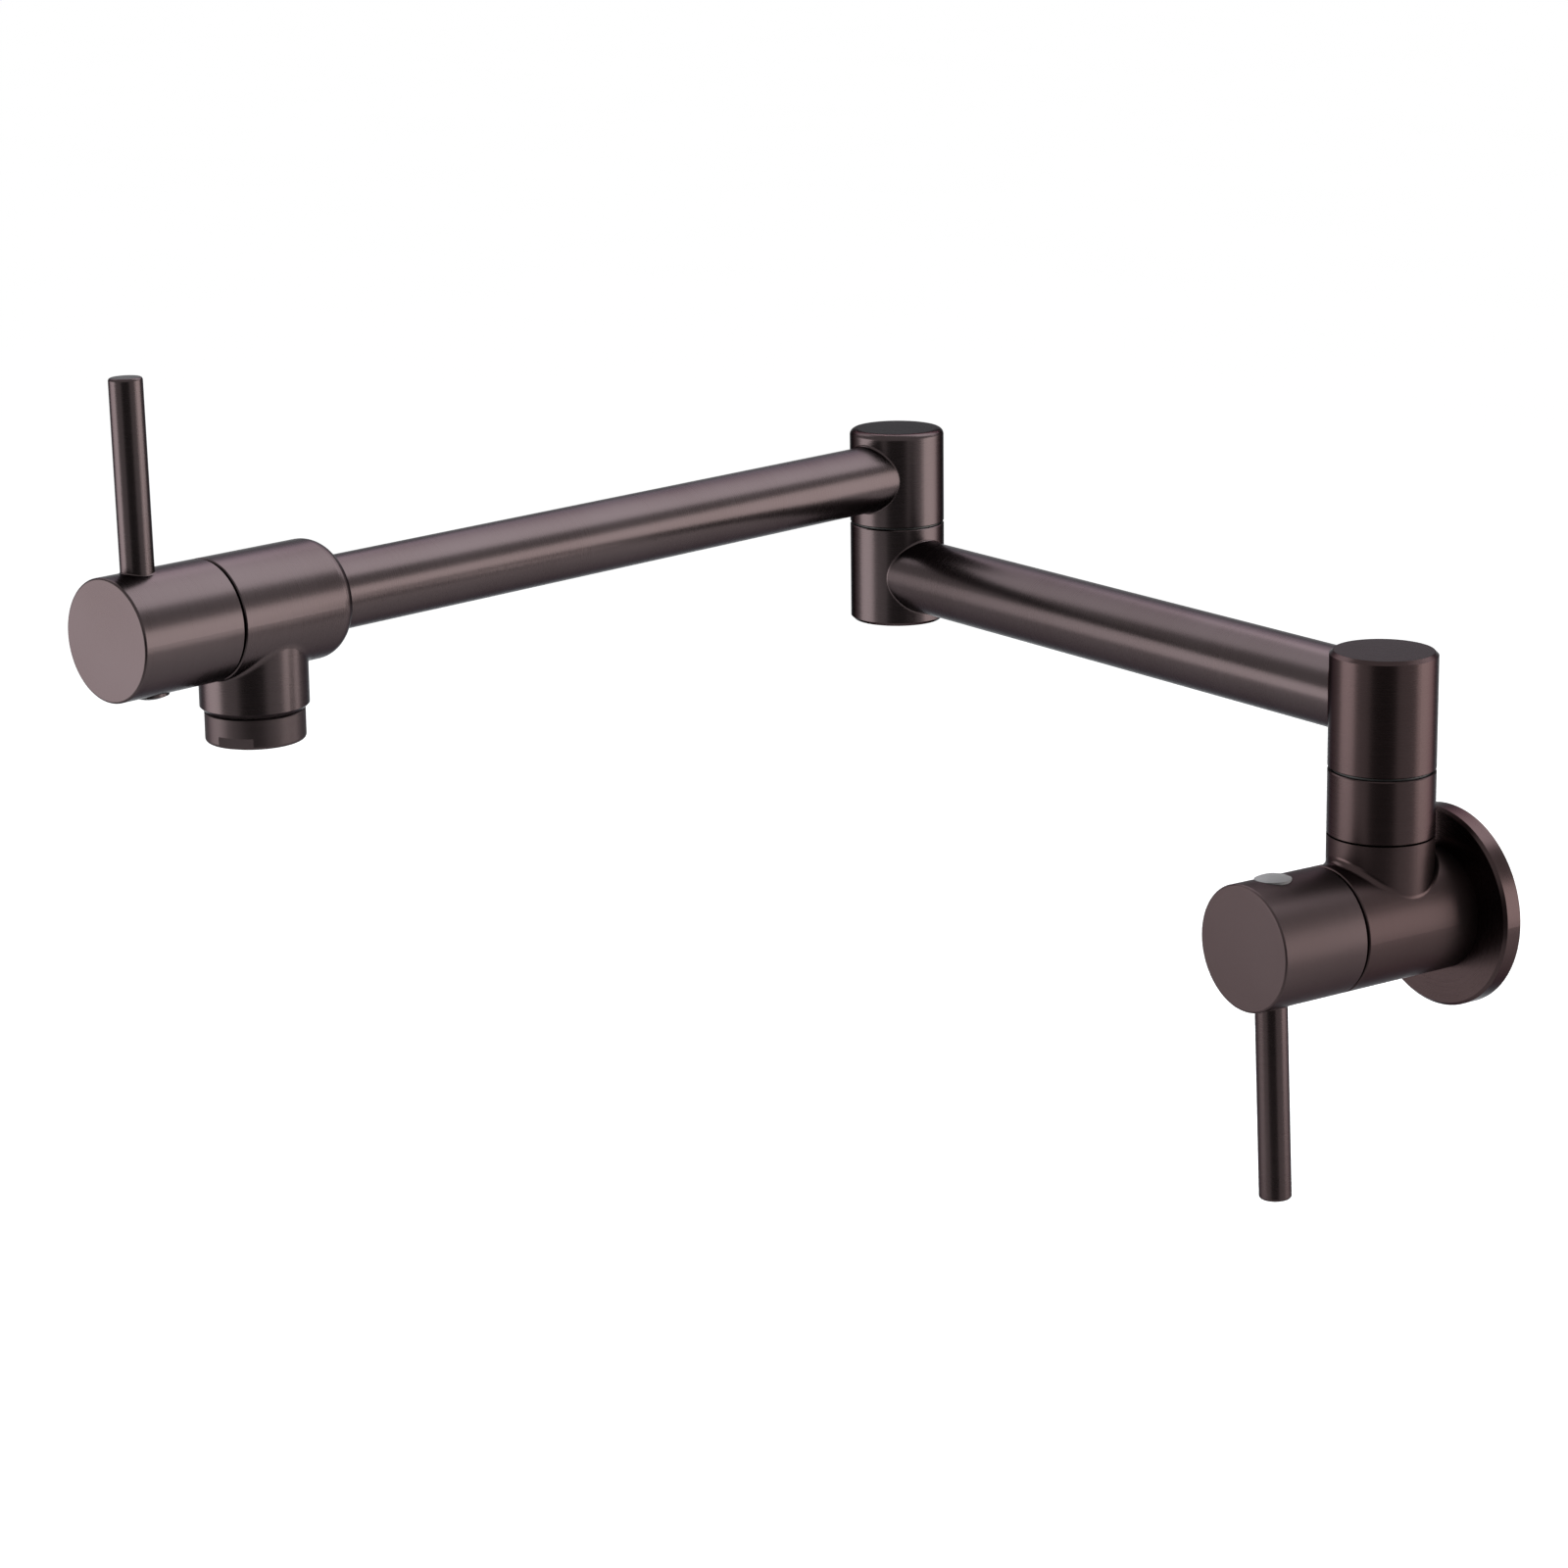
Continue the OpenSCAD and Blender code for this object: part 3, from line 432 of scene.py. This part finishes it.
# %% [markdown]
# ## Fillets where round parts meet
# A casting has no sharp inner corner. Its pattern is finished with a small ball that rolls along the
# crease, and a brazed tube gets the same shape from its filler. A bevel could round the crease of one
# joined mesh, but these parts stay apart. The centre of the ball keeps one distance from both
# cylinders, so it can be written down without any search: going round the branch by an angle, the ball
# lies at the branch's radius plus its own, and just so far along the branch that it also touches the
# run. The strip between its two points of touch is the fillet. One more point inside the metal closes
# each arc, so that the fillet is a whole ring and not a loose skin.

# %% A fillet between a branch and a run that cross at right angles
STEPS_ROUND = 144
STEPS_ARC = 7
# How deep the closing point lies in the metal, in ball radii.
TUCK = 0.25


def saddle(start, branch, branch_r, run, run_r, ball):
    """One arc of points for each step round the branch. The two axes cross at `start`."""
    across = branch.cross(run)
    rings = []
    for i in range(STEPS_ROUND):
        turn = 2 * math.pi * i / STEPS_ROUND
        r = ball(turn) if callable(ball) else ball
        radial = math.cos(turn) * across + math.sin(turn) * run
        sideways = (branch_r + r) * math.cos(turn)
        reach = math.sqrt((run_r + r) ** 2 - sideways ** 2)
        centre = start + reach * branch + (branch_r + r) * radial
        to_branch = -radial
        to_run = -(reach * branch + sideways * across).normalized()
        swing = to_branch.angle(to_run)
        arc = []
        for k in range(STEPS_ARC):
            t = k / (STEPS_ARC - 1)
            a, b = math.sin((1 - t) * swing), math.sin(t * swing)
            arc.append(centre + r * (a * to_branch + b * to_run) / math.sin(swing))
        inner = branch_r - TUCK * r
        depth = math.sqrt((run_r - TUCK * r) ** 2 - (inner * math.cos(turn)) ** 2)
        arc.append(start + depth * branch + inner * radial)
        rings.append(arc)
    return rings


print("a fillet has", STEPS_ROUND, "arcs of", STEPS_ARC + 1, "points")

# %% A closed ring as a piece
SHARP_ANGLE = math.radians(50)


def ring_mesh(name, rings, body, material):
    count = len(rings[0])
    points = [p for ring in rings for p in ring]
    faces = []
    for i in range(len(rings)):
        j = (i + 1) % len(rings)
        for k in range(count):
            n = (k + 1) % count
            faces.append((i * count + k, i * count + n, j * count + n, j * count + k))
    mesh = bpy.data.meshes.new(name)
    mesh.from_pydata([tuple(p) for p in points], [], faces)
    mesh.validate()
    mesh.update()
    for polygon in mesh.polygons:
        polygon.use_smooth = True
    piece = bpy.data.objects.new(name, mesh)
    bpy.context.scene.collection.objects.link(piece)
    mesh.materials.append(material)
    mesh.set_sharp_from_angle(angle=SHARP_ANGLE)
    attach(piece, body)
    print(name, "has", len(points), "points")


print("faces of a ring meet sharp from", round(math.degrees(SHARP_ANGLE)), "degrees")

# %% [markdown]
# ## Where the fillets go
# The cast boss has a large ball, the brazed tubes a smaller one and the levers a bead. One ball would
# do for the outlet pipe too, but its crease hangs low at the pipe's sides in the photograph. So its
# ball grows there, and it shrinks towards the spout body's front end, where no metal is left to carry
# it.

# %% Radii, heights and balls
def corners(name):
    return [nodes[name].matrix_world @ v.co for v in nodes[name].data.vertices]


def reach_below(name, point, height):
    """The largest distance from an upright axis among a solid's corners below a height."""
    return max(math.hypot(c.x - point.x, c.y - point.y) for c in corners(name) if c.z < height)


rod_r = radius_of("wall_handle_lever", Y)
lower_r = radius_of("lower_arm_tube", Z)
upper_r = radius_of("upper_arm_tube", Z)
lower_z = middle("lower_arm_tube").z
upper_z = middle("upper_arm_tube").z
pipe_r = reach_below("spout_body", spout_point, upper_z - body_r - MM)
body_front = round(max((c - spout_point).dot(OUTWARD) for c in corners("spout_body")) / MM, 2) * MM
CAST, BRAZE, BEAD = 2.2 * MM, 0.8 * MM, 0.5 * MM
OUTLET_CAST, SIDE_CAST, LEAST_CAST = 1.2 * MM, 3.0 * MM, 0.1 * MM
FRONT_MARGIN = 0.15 * MM


def outlet_ball(turn):
    """Largest at the pipe's sides, and small where the body's front end comes near."""
    ahead = math.sin(turn)
    ball = OUTLET_CAST + SIDE_CAST * math.cos(turn) ** 4
    if ahead <= 0:
        return ball
    return max(LEAST_CAST, min(ball, (body_front - FRONT_MARGIN) / ahead - pipe_r))


print("rod, pipe and body radius", [round(r / MM, 2) for r in (rod_r, pipe_r, body_r)], "mm")
print("the spout body's front end is", round(body_front / MM, 2), "mm ahead of its axis")

# %% The fillets
def on_column(point, height):
    return Vector((point.x, point.y, height))


def rod_foot(name, turning, point):
    """The point of the cap's axis that the rod's own axis passes through."""
    return point + (middle(name) - point).dot(turning) * turning


# Crossing point, branch, run, ball, body, bronze and slot.
wall_run, spout_run, column = (FRONT, wall_r), (OUTWARD, body_r), (UP, column_r)
fillets = {
    # The fillets on the column and the wall valve take the column's darker bronze, which is painted
    # shade.
    "boss_fillet": (on_column(head_point, 0), column, wall_run, CAST,
                    "wall_valve", "column", "bronze_dark"),
    "head_fillet": (on_column(head_point, lower_z), (LOWER, lower_r), column, BRAZE,
                    "lower_arm", "column", "bronze_dark"),
    "elbow_lower_fillet": (on_column(elbow_point, lower_z), (-LOWER, lower_r), column, BRAZE,
                           "lower_arm", "elbow", "bronze"),
    "elbow_upper_fillet": (on_column(elbow_point, upper_z), (OUTWARD, upper_r), column, BRAZE,
                           "upper_arm", "elbow", "bronze"),
    "outlet_fillet": (on_column(spout_point, upper_z), (-UP, pipe_r), spout_run, outlet_ball,
                      "upper_arm", "outlet", "bronze"),
    "wall_lever_fillet": (rod_foot("wall_handle_lever", FRONT, valve_point), (wall_rod, rod_r),
                          wall_run, BEAD, "wall_handle", "wall_cap", "bronze"),
    "spout_lever_fillet": (rod_foot("spout_handle_lever", OUTWARD, spout_point), (spout_rod, rod_r),
                           spout_run, BEAD, "spout_handle", "upper_arm", "bronze"),
}
for name, (start, branch, run, ball, body, finish, slot) in fillets.items():
    ring_mesh(name, saddle(start, *branch, *run, ball), body, bronzes[finish])

# %% [markdown]
# ## Floor and backdrop
# The photograph stands on plain white. More light would whiten the floor, but would bleach the tap as
# well. So the floor is pale and matt and lies below the tap, where it takes a soft shadow. It has a
# glow that the eye and reflections see and that lights nothing. The glow grows from none under the tap,
# where the lamps light the floor, to its full strength far away. The world is white to the eye and in
# reflections, and dimmer as a lamp.

# %% Floor
# The middle of the tap, which the lamps look at.
TARGET = Vector((-0.09, -0.15, 0.05))
FLOOR_Z, FLOOR_HALF = -0.60, 40
FLOOR_ALBEDO, FLOOR_MOTTLE = 0.80, 0.01
AMBIENT = 0.45
FAR_GLOW = 1 - FLOOR_ALBEDO * AMBIENT
# The distances from the point below the tap between which the glow grows.
GLOW_FROM, GLOW_TO = 0.475, 3.04
SQUARE = ((-1, -1), (1, -1), (1, 1), (-1, 1))


def sheet(name, points, material):
    mesh = bpy.data.meshes.new(name)
    mesh.from_pydata([tuple(p) for p in points], [], [(0, 1, 2, 3)])
    piece = bpy.data.objects.new(name, mesh)
    bpy.context.scene.collection.objects.link(piece)
    mesh.materials.append(material)
    return piece


def shown_rays(shading):
    """1 for a ray from the camera, off gloss or through glass, and 0 for the others."""
    shown = ("Is Camera Ray", "Is Glossy Ray", "Is Transmission Ray")
    camera_ray, glossy, through = (shading.node("LightPath", out=kind) for kind in shown)
    return camera_ray + glossy + through


def pale_floor():
    paint = Finish("pale_floor")
    point = paint.node("TexCoord", out="Object")
    cloud = paint.node("TexNoise", Vector=point, Scale=3, Detail=2)
    away = paint.length(point - (TARGET.x, TARGET.y, FLOOR_Z))
    far = paint.node("MapRange", settings={"interpolation_type": "SMOOTHERSTEP"}, Value=away,
                     From_Min=GLOW_FROM, From_Max=GLOW_TO)
    tones = [(FLOOR_ALBEDO + mottle,) * 3 for mottle in (-FLOOR_MOTTLE, FLOOR_MOTTLE)]
    paint.set(Base_Color=paint.blend(cloud, *tones), Roughness=0.9, Specular_IOR_Level=0,
              Emission_Color=paint.blend(FAR_GLOW * far * shown_rays(paint), (0, 0, 0), (1, 1, 1)),
              Emission_Strength=1)
    return paint.material


sheet("floor", [(x * FLOOR_HALF, y * FLOOR_HALF, FLOOR_Z) for x, y in SQUARE], pale_floor())
print("floor at", FLOOR_Z, "m, glows at", round(FAR_GLOW, 2), "beyond", GLOW_TO, "m")

# %% World
world = bpy.data.worlds.new("studio")
bpy.context.scene.world = world
sky = Shading(world, "BACKGROUND")
sky.set(Color=(1, 1, 1), Strength=AMBIENT + (1 - AMBIENT) * shown_rays(sky))
print("the world is 1 to the eye and", AMBIENT, "as a lamp")

# %% [markdown]
# ## Soft boxes
# Metal shows its lamps, so the lamps are the drawing here. A panorama of a studio could light the tap,
# but its lamps stand where they stand. Here each bright band in the photograph is one soft box, and its
# place follows from the band: a mirror on a column turns the view by twice the angle that its face has
# turned. Directions are seen from the tap: the angle from the camera round to its right, and the
# height. The back sheets are a little cool and the right box a little warm, as the bands in the
# photograph are. A nearly black card behind and below the camera gives the columns their dark middle,
# and only reflections see it.

# %% Lamps
# Blender spreads an area lamp's power over four times its face.
POWER_PER_GLOW = 4


def seen_towards(turn, lift):
    turn, lift = math.radians(turn), math.radians(lift)
    flat = math.sin(turn) * right - math.cos(turn) * forward
    return math.cos(lift) * flat + math.sin(lift) * UP


def soft_box(name, turn, lift, distance, size, glow, tint=(1, 1, 1)):
    towards = seen_towards(turn, lift)
    lamp = bpy.data.lights.new(name, "AREA")
    lamp.shape = "RECTANGLE"
    lamp.size, lamp.size_y = size
    lamp.energy = POWER_PER_GLOW * glow * size[0] * size[1]
    lamp.color = tint
    made = bpy.data.objects.new(name, lamp)
    bpy.context.scene.collection.objects.link(made)
    made.location = TARGET + towards * distance
    made.rotation_euler = towards.to_track_quat("Z", "Y").to_euler()
    made.visible_camera = False
    print(name, "at", [round(c, 2) for c in made.location], "glows at", glow)


COOL, WARM = (0.94, 0.97, 1.0), (1.0, 0.965, 0.93)
soft_box("right_box", 93, 0.5, 1.6, (1.4, 0.98), 4.2, WARM)
soft_box("left_box", -89, -5, 1.6, (1.2, 0.72), 4.3)
soft_box("left_back_sheet", -148, 41, 1.8, (1.7, 1.0), 2.8, COOL)
soft_box("right_back_sheet", 149, 47, 1.8, (2.2, 1.45), 4.5, COOL)

# %% The card
CARD_TONE, CARD_GLOW = 0.004, 0.12


def card(name, turn, lift, distance, size):
    towards = seen_towards(turn, lift)
    sideways = UP.cross(towards).normalized()
    upright = towards.cross(sideways)
    centre = TARGET + towards * distance
    points = [centre + x * sideways * size[0] / 2 + y * upright * size[1] / 2 for x, y in SQUARE]
    paint = Finish(name)
    paint.set(Base_Color=(CARD_TONE,) * 3, Roughness=0.9, Specular_IOR_Level=0,
              Emission_Color=(CARD_GLOW,) * 3, Emission_Strength=1)
    made = sheet(name, points, paint.material)
    made.visible_camera = made.visible_diffuse = made.visible_shadow = False
    print(name, "at", [round(c, 2) for c in centre], "glows at", CARD_GLOW)


card("camera_card", -2, -10, 1.25, (1.3, 1.0))

# %% [markdown]
# ## Last lines
# The view transform is the plain one.

# %% View transform
bpy.context.scene.view_settings.view_transform = "Standard"
